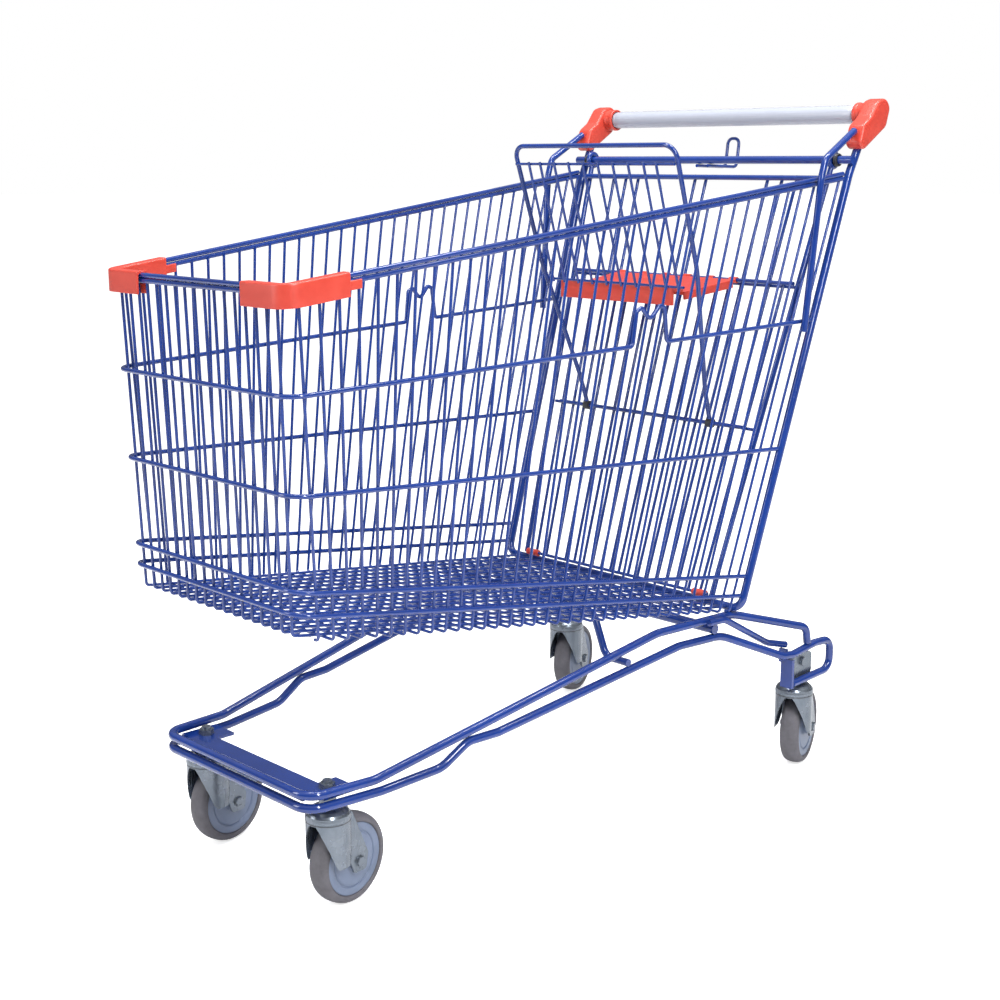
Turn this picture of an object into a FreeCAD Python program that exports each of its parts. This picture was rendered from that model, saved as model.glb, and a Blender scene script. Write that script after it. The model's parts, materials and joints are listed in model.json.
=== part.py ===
import FreeCAD, Part

# Rolling basket trolley of a supermarket: a wire basket on a rod chassis with four swivel castors.
# Millimetres. +Z up, nose towards -Y, handle at +Y, origin on the floor under the middle of the
# whole object.

import math
import os

os.makedirs("parts", exist_ok=True)

V = FreeCAD.Vector
X_AXIS = V(1, 0, 0)
Y_AXIS = V(0, 1, 0)
Z_AXIS = V(0, 0, 1)

# ---------------------------------------------------------------- driving dimensions

WELD_GAP = 0.02                 # rods that are welded side by side stand this far apart
RUNNING_GAP = 0.06              # radial clearance of every pin in its bore
WELD_BITE = 0.5                 # depth by which wires of one welded panel run into each other

# Wire and rod diameters
WIRE = 4.0                      # basket wires
HOOP = 6.0                      # hoops round the basket
RIM = 6.5                       # the two rim rods
FRAME = 12.0                    # U frame, crossbar and chassis rails
STAY = 10.0                     # handle stays and rear castor ties

# Basket: the side walls and the front wall are planes through the wire centres
FLOOR_FRONT_Y, FLOOR_FRONT_Z = -500.0, 377.5
FLOOR_REAR_Y, FLOOR_REAR_Z = 244.0, 281.5
FLOOR_SLOPE = (FLOOR_REAR_Z - FLOOR_FRONT_Z) / (FLOOR_REAR_Y - FLOOR_FRONT_Y)
RIM_FRONT_Y, RIM_FRONT_Z = -513.0, 782.0
RIM_REAR_Y, RIM_REAR_Z = 425.0, 901.5
RIM_SLOPE = (RIM_REAR_Z - RIM_FRONT_Z) / (RIM_REAR_Y - RIM_FRONT_Y)
SIDE_X0, SIDE_PER_Y, SIDE_PER_Z = 211.6, 0.0815, 0.0174
SIDE_WIRES = 35
FRONT_WIRES = 17
FRONT_TOP_HALF, FRONT_BOTTOM_HALF, FLOOR_REAR_HALF = 166.0, 160.0, 219.5
EDGE_BEND = 5.0                # bend radius of the wires at the floor edge
RIM_OUTSET = 2.5                # rim rod centres stand this far outside the wire centres

# U frame of the basket's open rear end
UPRIGHT_SLOPE = 0.3123          # dy/dz of the uprights
UPRIGHT_BOTTOM_X, UPRIGHT_TOP_X = 243.5, 267.0
UPRIGHT_KINK_Z, UPRIGHT_TOP_Y, UPRIGHT_TOP_Z = 905.0, 460.0, 950.0

# Rear crossbar, which is the hinge pin of the gate
BAR_Z = 924.7
BAR_HALF = 274.0

# Hoops: (height at the front, height at the rear end)
HOOPS = ((663.0, 697.0), (548.0, 513.0), (434.0, 330.0), (406.0, 302.0))
HOOP_CORNER = 28.0

# Handle
HANDLE_Y, HANDLE_Z = 492.5, 990.5
HANDLE_R, HANDLE_HALF = 13.3, 240.0
CORE_R = 10.0
BRACKET_INNER, BRACKET_OUTER = 256.0, 284.0

# Chassis
NOSE_Y = -482.0
NOSE_HALF = 158.0
RAIL_REAR_HALF = 240.0
NOSE_CORNER = 26.0
UPPER_NOSE_Z, LOWER_NOSE_Z = 168.3, 151.5

# Castors
WHEEL_R, TYRE_WIDTH = 59.0, 30.0
TRAIL = 33.0
FRONT_PIN = (133.5, -434.0)
REAR_PIN = (244.0, 384.0)
LOOP_X = 263.0                  # plane of the rear castor loops
FRONT_YAW, REAR_YAW = 9.0, 20.0
HEAD_R = 28.5
KINGPIN_R = 6.0
AXLE_R = 5.0

# Gate, hung on the crossbar; `drop` is measured down its plane from the hinge axis
GATE_SLOPE = math.atan(UPRIGHT_SLOPE)
GATE_ROD = 8.0
GATE_WIRE = 5.0
GATE_TOP_HALF, GATE_BOTTOM_HALF = 240.0, 194.0
GATE_DROP = 663.0
TOP_BAR_DROP = 30.0
SEAT_DROP = 188.0
PIVOT_DROP = 408.0
LEG_HOLE_WIRES = (0.046, 0.546, 0.658, 0.77)
LOWER_ONLY_WIRES = (0.146, 0.246, 0.346, 0.446, 0.885)

# Child seat
SEAT_LEAN = math.radians(18.3)
SEAT_ROD = 7.0
SEAT_WIRE = 4.0
SEAT_LENGTH = 430.0
PIVOT_ROD = 6.0


# ---------------------------------------------------------------- shape helpers

def save(name, shapes):
    """Write one node; several solids go in as a group."""
    solids = shapes if isinstance(shapes, (list, tuple)) else [shapes]
    solids = [solid for shape in solids for solid in shape.Solids]
    shape = solids[0] if len(solids) == 1 else Part.makeCompound(solids)
    shape.exportStep("parts/%s.step" % name)


def box(x0, x1, y0, y1, z0, z1):
    return Part.makeBox(x1 - x0, y1 - y0, z1 - z0, V(x0, y0, z0))


def cylinder(start, end, radius):
    axis = end - start
    return Part.makeCylinder(radius, axis.Length, start, axis)


def mirrored(shape):
    return shape.mirror(V(0, 0, 0), X_AXIS)


def both_sides(shape):
    return [shape, mirrored(shape)]


def bend_edges(points, radii):
    """Lines joined by tangent arcs, one radius for each inner point."""
    edges = []
    start = points[0]
    for before, corner, after, radius in zip(points, points[1:], points[2:], radii):
        into = (corner - before).normalize()
        out = (after - corner).normalize()
        turn = into.getAngle(out)
        reach = radius * math.tan(turn / 2.0)
        arc_start = corner - into * reach
        arc_end = corner + out * reach
        inward = (out - into).normalize()
        middle = corner + inward * (radius / math.cos(turn / 2.0) - radius)
        edges.append(Part.LineSegment(start, arc_start).toShape())
        edges.append(Part.Arc(arc_start, middle, arc_end).toShape())
        start = arc_end
    edges.append(Part.LineSegment(start, points[-1]).toShape())
    return edges


def rod(points, diameter, radii=None):
    """A round rod along the points; an inner point without a stated radius gets 2.5 diameters."""
    points = [V(*point) for point in points]
    if len(points) == 2:
        return cylinder(points[0], points[1], diameter / 2.0)
    if radii is None:
        radii = [diameter * 2.5] * (len(points) - 2)
    path = Part.Wire(bend_edges(points, radii))
    circle = Part.Circle(points[0], points[1] - points[0], diameter / 2.0)
    profile = Part.Wire([circle.toShape()])
    return path.makePipeShell([profile], True, True)


def fused(shapes):
    shape = shapes[0].multiFuse(list(shapes[1:]))
    return shape.removeSplitter()


def ring(centre, axis, inner, outer, length):
    """A short tube centred on a point."""
    start = centre - axis * (length / 2.0)
    tube = Part.makeCylinder(outer, length, start, axis)
    return tube.cut(Part.makeCylinder(inner, length + 2.0, start - axis, axis))


def prism(outline, x0, x1, rounding=0.0):
    """A plate: an outline in the YZ plane pushed along X, with rounded corners."""
    corners = [V(x0, y, z) for y, z in outline]
    if rounding:
        middle = (corners[0] + corners[-1]) * 0.5
        loop = [middle] + corners + [middle]
        edges = bend_edges(loop, [rounding] * len(corners))
    else:
        edges = [Part.LineSegment(a, b).toShape() for a, b in zip(corners, corners[1:] + corners[:1])]
    return Part.Face(Part.Wire(edges)).extrude(V(x1 - x0, 0, 0))


def hexagon(centre, axis, across_flats, length):
    """A nut or bolt head that starts at a point and grows along an axis."""
    side = V(0, 0, 1) if abs(axis.z) < 0.5 else V(1, 0, 0)
    other = axis.cross(side)
    radius = across_flats / math.sqrt(3.0)
    corners = []
    for index in range(7):
        angle = math.radians(60 * index)
        corners.append(centre + side * (radius * math.cos(angle)) + other * (radius * math.sin(angle)))
    return Part.Face(Part.makePolygon(corners)).extrude(axis * length)


# ---------------------------------------------------------------- basket geometry

def floor_z(y):
    return FLOOR_FRONT_Z + FLOOR_SLOPE * (y - FLOOR_FRONT_Y)


def rim_z(y):
    return RIM_FRONT_Z + RIM_SLOPE * (y - RIM_FRONT_Y)


LAYER_STEP = (WIRE + WELD_GAP) / math.cos(math.atan(FLOOR_SLOPE))   # long wires lie on the cross wires


def side_x(y, z):
    return SIDE_X0 + SIDE_PER_Y * y + SIDE_PER_Z * z


def front_y(z):
    lean = (RIM_FRONT_Y - FLOOR_FRONT_Y) / (RIM_FRONT_Z - FLOOR_FRONT_Z)
    return FLOOR_FRONT_Y + lean * (z - FLOOR_FRONT_Z)


def upright_y(z):
    return FLOOR_REAR_Y + UPRIGHT_SLOPE * (z - FLOOR_REAR_Z)


def upright_x(z):
    share = (z - FLOOR_REAR_Z) / (UPRIGHT_TOP_Z - FLOOR_REAR_Z)
    return UPRIGHT_BOTTOM_X + share * (UPRIGHT_TOP_X - UPRIGHT_BOTTOM_X)


def mix(a, b, share):
    return a + (b - a) * share


def side_wire_ends(index):
    """Top and bottom Y of a side wire; the wires fan out from the floor to the rim."""
    share = index / (SIDE_WIRES - 1.0)
    top = mix(RIM_FRONT_Y + 16.0, RIM_REAR_Y - 4.0, share)
    bottom = mix(FLOOR_FRONT_Y + 24.0, FLOOR_REAR_Y - 16.0, share)
    return top, bottom


FIRST_WIRE_INSET = 0.8          # the first side wire stands inside the hoops' corner bends


def side_wire(index):
    """Down the right wall, round the floor edge, ending flush at the end of the cross wire."""
    top_y, bottom_y = side_wire_ends(index)
    top_z = rim_z(top_y) - RIM / 2.0
    low_z = floor_z(bottom_y) - LAYER_STEP
    inset = FIRST_WIRE_INSET if index == 0 else 0.0
    top = (side_x(top_y, top_z) - inset, top_y, top_z)
    corner = (side_x(bottom_y, low_z) - inset, bottom_y, low_z)
    end = (cross_wire_half(bottom_y), bottom_y, low_z)
    return rod([top, corner, end], WIRE, [EDGE_BEND])


def cross_wire_half(y):
    return side_x(y, floor_z(y) - WIRE) - EDGE_BEND - 3.0


def lower_rim_side():
    """The lower rim rod of the right side, between the corner bumper and the upright."""
    ends = []
    for y in (RIM_FRONT_Y + 12.0, RIM_REAR_Y):
        z = rim_z(y) - RIM / 2.0
        ends.append((side_x(y, z) + RIM_OUTSET, y, z))
    return rod(ends, RIM)


def right_side_wires():
    wires = [side_wire(index) for index in range(SIDE_WIRES)]
    return fused([lower_rim_side()] + wires)


def front_wire_x(index):
    share = 2.0 * index / (FRONT_WIRES - 1.0) - 1.0
    return share * FRONT_TOP_HALF, share * FRONT_BOTTOM_HALF, share * FLOOR_REAR_HALF


def front_wires():
    """Upright wires of the front wall, joined by the lower rim rod of the front."""
    rim_height = RIM_FRONT_Z - RIM / 2.0
    rim_y = RIM_FRONT_Y - RIM_OUTSET
    half = side_x(RIM_FRONT_Y, RIM_FRONT_Z) - 10.0
    parts = [rod([(-half, rim_y, rim_height), (half, rim_y, rim_height)], RIM)]
    for index in range(FRONT_WIRES):
        top_x, bottom_x, rear_x = front_wire_x(index)
        end_y = FLOOR_FRONT_Y + EDGE_BEND + 3.0
        end_x = mix(bottom_x, rear_x, (end_y - FLOOR_FRONT_Y) / (FLOOR_REAR_Y - FLOOR_FRONT_Y))
        top = (top_x, front_y(rim_height), rim_height)
        corner = (bottom_x, FLOOR_FRONT_Y, FLOOR_FRONT_Z)
        end = (end_x, end_y, floor_z(end_y))
        parts.append(rod([top, corner, end], WIRE, [EDGE_BEND]))
    return fused(parts)


def floor_long_wire(index, drop=0.0):
    bottom_x, rear_x = front_wire_x(index)[1:]
    start_y = FLOOR_FRONT_Y + EDGE_BEND + 3.0
    end_y = FLOOR_REAR_Y - FRAME / 2.0 - 0.4
    ends = []
    for y in (start_y, end_y):
        share = (y - FLOOR_FRONT_Y) / (FLOOR_REAR_Y - FLOOR_FRONT_Y)
        ends.append((mix(bottom_x, rear_x, share), y, floor_z(y) - drop))
    return rod(ends, WIRE)


def floor_cross_wire(index, half=None, lift=0.0):
    y = side_wire_ends(index)[1]
    half = half or cross_wire_half(y)
    z = floor_z(y) - LAYER_STEP + lift
    return rod([(-half, y, z), (half, y, z)], WIRE)


def floor_long_wires():
    """Fifteen wires along the floor, tied by the first and the last cross wire."""
    wires = [floor_long_wire(index) for index in range(1, FRONT_WIRES - 1)]
    tie_half = front_wire_x(FRONT_WIRES - 2)[1]
    rear_tie_half = front_wire_x(FRONT_WIRES - 2)[2] - 2.0
    wires.append(floor_cross_wire(0, tie_half, WELD_BITE))
    wires.append(floor_cross_wire(SIDE_WIRES - 1, rear_tie_half, WELD_BITE))
    return fused(wires)


def floor_cross_wires():
    """The cross wires of the floor, tied by the two outer long wires."""
    wires = [floor_cross_wire(index) for index in range(1, SIDE_WIRES - 1)]
    wires.append(floor_long_wire(0, WELD_BITE))
    wires.append(floor_long_wire(FRONT_WIRES - 1, WELD_BITE))
    return fused(wires)


RIM_STEP = 0.12                 # keeps the two sloping rim rods just apart


def upper_rim():
    """The upper rim rod: one rod from upright to upright round the front."""
    z_front = RIM_FRONT_Z + RIM / 2.0 + RIM_STEP
    z_rear = RIM_REAR_Z + RIM / 2.0 + RIM_STEP
    front_x = side_x(RIM_FRONT_Y, RIM_FRONT_Z) + RIM_OUTSET
    rear_x = side_x(RIM_REAR_Y, RIM_REAR_Z) + RIM_OUTSET
    corner_y = RIM_FRONT_Y - RIM_OUTSET
    points = [(rear_x, RIM_REAR_Y, z_rear), (front_x, corner_y, z_front)]
    points += [(-front_x, corner_y, z_front), (-rear_x, RIM_REAR_Y, z_rear)]
    return rod(points, RIM, [20.0, 20.0])


HOOP_GAP = 0.25                 # hoops stand this far outside the wires


def hoop_point(y, z):
    return (side_x(y, z) + (WIRE + HOOP) / 2.0 + HOOP_GAP, y, z)


def hoop_side(front_height, rear_height):
    """End points of a hoop's right run: rear end in front of the upright, and the front corner."""
    rear_y = upright_y(rear_height) - FRAME / 2.0 - 1.6
    corner_y = front_y(front_height) - (WIRE + HOOP) / 2.0 - HOOP_GAP
    return hoop_point(rear_y, rear_height), hoop_point(corner_y, front_height)


def bag_hook_points(rear, corner):
    """Two upright fingers with a valley between them, bent into the top hoop on each side."""
    points = []
    for y, rise in ((75.0, 0.0), (69.0, 46.0), (60.0, 50.0), (43.0, 32.0), (27.0, 50.0), (18.0, 46.0), (12.0, 0.0)):
        share = (y - corner[1]) / (rear[1] - corner[1])
        z = mix(corner[2], rear[2], share) + rise
        points.append(hoop_point(y, z))
    return points


def hoop(index):
    front_height, rear_height = HOOPS[index]
    rear, corner = hoop_side(front_height, rear_height)
    right = [rear]
    radii = []
    if index == 0:
        hooks = bag_hook_points(rear, corner)
        right += hooks
        radii += [6.0, 4.0, 4.0, 7.0, 4.0, 4.0, 6.0]
    right.append(corner)
    radii.append(HOOP_CORNER)
    left = [(-x, y, z) for x, y, z in reversed(right)]
    return rod(right + left, HOOP, radii + radii[::-1])


def rear_frame():
    """Both uprights and the bottom rod of the open rear end, bent from one rod."""
    kink_y = upright_y(UPRIGHT_KINK_Z)
    right = [
        (UPRIGHT_TOP_X, UPRIGHT_TOP_Y, UPRIGHT_TOP_Z),
        (upright_x(UPRIGHT_KINK_Z), kink_y, UPRIGHT_KINK_Z),
        (UPRIGHT_BOTTOM_X, FLOOR_REAR_Y, FLOOR_REAR_Z),
    ]
    left = [(-x, y, z) for x, y, z in reversed(right)]
    return rod(right + left, FRAME, [60.0, 18.0, 18.0, 60.0])


def bar_y():
    """The crossbar lies against the front of the uprights."""
    return upright_y(BAR_Z) + 2.5 - (FRAME + 0.4) / math.cos(GATE_SLOPE)


def rear_crossbar():
    y = bar_y()
    return rod([(-BAR_HALF, y, BAR_Z), (BAR_HALF, y, BAR_Z)], FRAME)


def crossbar_loop_hook():
    """Wire loop welded under the crossbar that stands up behind it, between the crossbar and the handle."""
    right = [(11.0, 428.0, 916.1), (11.0, 500.0, 914.0), (11.0, 505.4, 958.2)]
    left = [(-x, y, z) for x, y, z in reversed(right)]
    return rod(right + left, GATE_WIRE, [9.0, 9.0, 9.0, 9.0])


# ---------------------------------------------------------------- handle

def handle_stay():
    """Bent rod from the bracket down the outside of the rim, ending beside the upright."""
    points = [
        (270.5, 440.0, 966.0),
        (272.5, 369.0, 926.0),
        (272.5, 361.0, 900.0),
        (265.4, 343.0, 682.0),
    ]
    return rod(points, STAY, [18.0, 30.0])


BRACKET_OUTLINE = ((447.0, 938.0), (414.0, 958.0), (405.0, 975.0), (426.0, 985.0), (456.0, 1011.0),
                   (482.0, 1017.0), (513.0, 1001.0), (503.0, 971.0))


def handle_bracket(frame, stay):
    """Moulded end piece that joins the handle, the stay and the upright."""
    body = prism(BRACKET_OUTLINE, BRACKET_INNER, BRACKET_OUTER, 5.0)
    centre = V(HANDLE_HALF + 9.0, HANDLE_Y, HANDLE_Z)
    collar = ring(centre, X_AXIS, CORE_R, HANDLE_R + 4.0, 20.0)
    sleeve_room = cylinder(V(0, HANDLE_Y, HANDLE_Z), V(HANDLE_HALF + 0.1, HANDLE_Y, HANDLE_Z), HANDLE_R + 0.1)
    core_room = cylinder(V(0, HANDLE_Y, HANDLE_Z), V(BRACKET_OUTER - 8.0, HANDLE_Y, HANDLE_Z), CORE_R)
    body = body.fuse(collar).cut(sleeve_room).cut(core_room)
    return body.cut(frame).cut(stay).removeSplitter()


def handle_core():
    half = BRACKET_OUTER - 8.0
    outer = cylinder(V(-half, HANDLE_Y, HANDLE_Z), V(half, HANDLE_Y, HANDLE_Z), CORE_R)
    inner = cylinder(V(-half - 1, HANDLE_Y, HANDLE_Z), V(half + 1, HANDLE_Y, HANDLE_Z), CORE_R - 2.0)
    return outer.cut(inner)


def handle_sleeve():
    return ring(V(0, HANDLE_Y, HANDLE_Z), X_AXIS, CORE_R, HANDLE_R, 2.0 * HANDLE_HALF)


def corner_bumper(rods):
    """Red angle that wraps both rim rods at a front corner."""
    z0 = RIM_FRONT_Z - 20.0
    z1 = RIM_FRONT_Z + 8.5
    outer_x = side_x(RIM_FRONT_Y, RIM_FRONT_Z) + RIM_OUTSET
    front = RIM_FRONT_Y - RIM_OUTSET
    reach_y = front + 81.0
    reach_x = outer_x - 76.0
    path = [(reach_x, front), (outer_x, front), (outer_x + SIDE_PER_Y * 81.0, reach_y)]
    points = [V(x, y, z0 + RIM_SLOPE * (y - front)) for x, y in path]
    spine = Part.Wire(bend_edges(points, [20.0]))
    half = 8.5
    height = z1 - z0
    section = Part.makePolygon([
        V(reach_x, front - half, z0), V(reach_x, front + half, z0),
        V(reach_x, front + half, z0 + height), V(reach_x, front - half, z0 + height),
        V(reach_x, front - half, z0),
    ])
    return spine.makePipeShell([section], True, True).cut(rods)


# ---------------------------------------------------------------- chassis

def rail_x(y):
    return mix(NOSE_HALF, RAIL_REAR_HALF, (y - NOSE_Y) / (410.0 - NOSE_Y))


def bowed_rod(run, diameter, radii, rear=()):
    """A rod that comes forward along the right side, goes round the nose and back on the left."""
    right = list(rear) + [(rail_x(y), y, z) for y, z in run]
    left = [(-x, y, z) for x, y, z in reversed(right)]
    return rod(right + left, diameter, radii + radii[::-1])


def upper_rail():
    """Its ends turn down onto the lower rail's loops; it passes under the bottom rod of the rear frame."""
    rear = [(LOOP_X, 386.0, 205.4), (LOOP_X, 381.0, 231.0)]
    run = [(246.0, 270.0), (96.0, 268.5), (-385.0, UPPER_NOSE_Z), (NOSE_Y, UPPER_NOSE_Z)]
    return bowed_rod(run, FRAME, [16.0, 90.0, 90.0, 60.0, NOSE_CORNER], rear)


def lower_rail():
    """Runs under the upper rail, meets it once on each side and ends round each rear castor in a D on end."""
    rear = [(LOOP_X, 350.0, 147.5), (LOOP_X, 446.0, 152.0), (LOOP_X, 446.0, 199.0), (LOOP_X, 405.0, 201.0),
            (LOOP_X, 350.0, 194.0), (LOOP_X - 1.0, 326.0, 196.5)]
    run = [(225.0, 241.0), (140.0, 241.0), (-190.0, 186.5), (-240.0, 185.3),
           (-282.0, 159.5), (-375.0, LOWER_NOSE_Z), (NOSE_Y, LOWER_NOSE_Z)]
    radii = [18.0, 18.0, 20.0, 20.0, 30.0, 60.0, 60.0, 40.0, 30.0, 40.0, 60.0, NOSE_CORNER]
    return bowed_rod(run, FRAME, radii, rear)


PLATE_TOP = 161.9
PLATE_SHEET_THICK = 4.0


def front_castor_plate():
    """Pressed steel plate between the nose rods, with a foot at each end for a castor."""
    top = PLATE_TOP
    edge = NOSE_Y + FRAME / 2.0
    base = top - PLATE_SHEET_THICK
    plate = box(-140.0, 140.0, edge - 1.5, edge + 44.0, base, top)
    for side in (-1.0, 1.0):
        x0, x1 = sorted((side * 112.0, side * 157.0))
        foot = box(x0, x1, edge + 18.0, edge + 72.0, base, top)
        plate = plate.fuse(foot)
    lip = box(-110.0, 110.0, edge + 40.0, edge + 44.0, top - 16.0, base + 1.0)
    plate = plate.fuse(lip)
    for side in (-1.0, 1.0):
        plate = plate.cut(Part.makeCylinder(KINGPIN_R, 20.0, V(side * FRONT_PIN[0], FRONT_PIN[1], top - 12.0)))
    return plate.removeSplitter()


def cross_tube():
    """Tube across the chassis, between the upper and the lower rail."""
    y = 208.0
    return rod([(-rail_x(y) - 5.0, y, 254.8), (rail_x(y) + 5.0, y, 254.8)], 15.0)


def cradle_brace():
    """Rod that rests on the lower rail and rises inside the rails to carry the basket floor."""
    y = 40.0
    high = floor_z(y) - WIRE * 1.5 - 5.9
    low = 236.3
    right = [(rail_x(y) + 2.0, y, low), (165.0, y, low), (140.0, y, high)]
    left = [(-x, y_, z) for x, y_, z in reversed(right)]
    return rod(right + left, 11.0, [18.0, 18.0, 18.0, 18.0])


def rear_castor_tie():
    """Thinner rod from the side of the upper rail down to the top of the strap."""
    points = [
        (rail_x(188.0) + 11.2, 188.0, 268.9),
        (rail_x(220.0) + 11.2, 220.0, 268.9),
        (238.0, 318.0, 214.0),
        (248.0, 352.0, 206.0),
    ]
    return rod(points, STAY, [30.0, 30.0])


def rear_castor_strap():
    """Narrow upright strip in front of the saddle, from the bottom of the loop up to the tie rod."""
    wide = box(246.5, 268.0, 343.5, 348.5, SADDLE_BASE, 186.5)
    narrow = box(242.0, LOOP_X - 7.5, 343.5, 348.5, 180.0, 201.0)
    return fused([wide, narrow])


def rear_castor_saddle():
    """Zinc angle beside the loop that the castor's kingpin is bolted through."""
    x, y = REAR_PIN
    wall = prism(((y - 35.2, 151.0), (y - 35.2, 187.0), (y + 24.0, 187.0), (y + 24.0, 151.0)), 254.6, 256.7, 7.0)
    base = box(x - 13.0, 256.7, y - 15.0, y + 24.0, SADDLE_BASE, SADDLE_BASE + SADDLE_SHEET)
    web = box(254.6, 256.7, y - 15.0, y + 15.0, SADDLE_BASE, 160.0)
    pin_hole = Part.makeCylinder(KINGPIN_R, 20.0, V(x, y, 135.0))
    bolt_hole = cylinder(V(240.0, y, SADDLE_BOLT_Z), V(270.0, y, SADDLE_BOLT_Z), 4.0)
    return fused([wall, base, web]).cut(pin_hole).cut(bolt_hole)


def rear_saddle_bolt():
    """Bolt through the saddle's wall, with its head outside and its nut inside."""
    y = REAR_PIN[1]
    shaft = cylinder(V(243.0, y, SADDLE_BOLT_Z), V(256.7, y, SADDLE_BOLT_Z), 4.0)
    head = hexagon(V(256.7, y, SADDLE_BOLT_Z), X_AXIS, 13.0, 5.0)
    nut = hexagon(V(254.6, y, SADDLE_BOLT_Z), V(-1, 0, 0), 13.0, 6.5)
    return fused([shaft, head, nut])


SADDLE_BOLT_Z = 175.0
SADDLE_BASE = 141.5
SADDLE_SHEET = 6.0


def castor_places():
    """Name, kingpin position, yaw, and the underside and thickness of the mounting of each castor."""
    fx, fy = FRONT_PIN
    rx, ry = REAR_PIN
    plate_base = PLATE_TOP - PLATE_SHEET_THICK
    return (
        ("front_left", -fx, fy, FRONT_YAW, plate_base, PLATE_SHEET_THICK),
        ("front_right", fx, fy, FRONT_YAW, plate_base, PLATE_SHEET_THICK),
        ("rear_left", -rx, ry, REAR_YAW, SADDLE_BASE, SADDLE_SHEET),
        ("rear_right", rx, ry, REAR_YAW, SADDLE_BASE, SADDLE_SHEET),
    )


HEAD_TOP = 139.4


def kingpin(x, y, underside):
    """Fixed pin of a castor: head under the crown, collar up to the mounting, thread above."""
    head = Part.makeCylinder(9.0, 5.4, V(x, y, 122.0))
    collar = Part.makeCylinder(11.0, underside - HEAD_TOP - 0.3, V(x, y, HEAD_TOP + 0.3))
    shaft = Part.makeCylinder(KINGPIN_R, underside + 15.0 - 122.0, V(x, y, 122.0))
    return fused([shaft, head, collar])


def castor_nut(x, y, seat):
    nut = hexagon(V(x, y, seat), Z_AXIS, 18.0, 7.5)
    return nut.cut(Part.makeCylinder(KINGPIN_R, 20.0, V(x, y, seat - 5.0)))


# ---------------------------------------------------------------- castor parts (kingpin on the Z axis)

FORK_GAP = 19.0
FORK_SHEET = 3.0
AXLE_Z = WHEEL_R


ARCH = ((0.0, 128.0), (9.6, 114.0), (16.0, 100.0), (20.5, 88.0), (23.5, 76.0), (25.2, 68.0), (28.0, 58.0))
SKIRT_BACK = 17.0
LEG_OUTLINE = ((-14.0, 131.0), (20.0, 131.0), (49.0, 66.0), (45.0, 45.0), (23.0, 45.0), (16.0, 62.0), (10.0, 110.0))


def fork_skirt():
    """Bell of the fork in front of the legs, open towards the wheel in a pointed arch."""
    centre = V(0, 0, 95.0)
    skirt = ring(centre, Z_AXIS, HEAD_R - 3.0, HEAD_R, 66.0)
    half = [V(x, -60.0, z) for x, z in ARCH]
    other = [V(-x, -60.0, z) for x, z in reversed(ARCH[1:])]
    below = [V(28.0, -60.0, 50.0), V(-28.0, -60.0, 50.0)]
    outline = half + below + other
    arch = Part.Face(Part.makePolygon(outline + outline[:1])).extrude(V(0, 120.0, 0))
    behind = box(-60.0, 60.0, SKIRT_BACK + 1.0, 60.0, 50.0, 128.5)
    return skirt.cut(arch).cut(behind)


def fork():
    """Pressed fork with its bearing head; it turns round the kingpin."""
    head = Part.makeCylinder(HEAD_R, 10.0, V(0, 0, 120.0))
    head = head.fuse(Part.makeCone(HEAD_R - 1.0, 15.0, 9.4, V(0, 0, 130.0)))
    room = box(-FORK_GAP, FORK_GAP, -TRAIL + 16.0, 80.0, 100.0, 128.0)
    pin_room = Part.makeCylinder(10.0, 8.0, V(0, 0, 120.0))
    bore = Part.makeCylinder(KINGPIN_R + RUNNING_GAP, 60.0, V(0, 0, 100.0))
    head = head.cut(room).cut(pin_room).cut(bore)
    axle_hole = cylinder(V(-60, TRAIL, AXLE_Z), V(60, TRAIL, AXLE_Z), AXLE_R)
    crown = box(-FORK_GAP - FORK_SHEET, FORK_GAP + FORK_SHEET, -14.0, 20.0, 128.0, 130.5)
    crown = crown.cut(bore)
    parts = [head, crown, fork_skirt()]
    for side in (-1.0, 1.0):
        x0, x1 = sorted((side * FORK_GAP, side * (FORK_GAP + FORK_SHEET)))
        parts.append(prism(LEG_OUTLINE, x0, x1, 5.0).cut(axle_hole))
    return fused(parts)


def axle_bolt():
    end = FORK_GAP + FORK_SHEET
    shaft = cylinder(V(-end - 7.5, TRAIL, AXLE_Z), V(end, TRAIL, AXLE_Z), AXLE_R)
    head = hexagon(V(end, TRAIL, AXLE_Z), X_AXIS, 13.0, 4.0)
    nut = hexagon(V(-end, TRAIL, AXLE_Z), V(-1, 0, 0), 13.0, 6.0)
    return shaft.fuse(head).fuse(nut).removeSplitter()


def revolved(profile, centre):
    """Turn an outline of (along X, radius) pairs about the wheel's axle."""
    points = [V(x, centre[1], centre[2] + radius) for x, radius in profile]
    face = Part.Face(Part.makePolygon(points + points[:1]))
    return face.revolve(V(0, centre[1], centre[2]), X_AXIS, 360)


def wheel_hub():
    """Moulded wheel centre with a stepped face on both sides and a bore for the axle."""
    bore = AXLE_R + RUNNING_GAP
    half = [(18.5, bore), (18.5, 11.0), (13.0, 13.0), (12.4, 34.0), (11.0, 36.0), (12.8, 38.0), (12.8, 47.5)]
    profile = [(-x, r) for x, r in half] + [(x, r) for x, r in reversed(half)]
    return revolved(profile, (0, TRAIL, AXLE_Z))


def tyre():
    half = [(13.2, 47.5), (TYRE_WIDTH / 2.0, 49.5), (TYRE_WIDTH / 2.0, 51.5), (13.6, 54.5), (10.5, 57.2), (5.5, 58.7)]
    profile = [(-x, r) for x, r in half] + [(0.0, WHEEL_R)] + [(x, r) for x, r in reversed(half)]
    return revolved(profile, (0, TRAIL, AXLE_Z))


def placed_castor(shape, x, y, yaw):
    shape = shape.copy()
    shape.rotate(V(0, 0, 0), Z_AXIS, yaw)
    shape.translate(V(x, y, 0))
    return shape


# ---------------------------------------------------------------- gate

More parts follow.
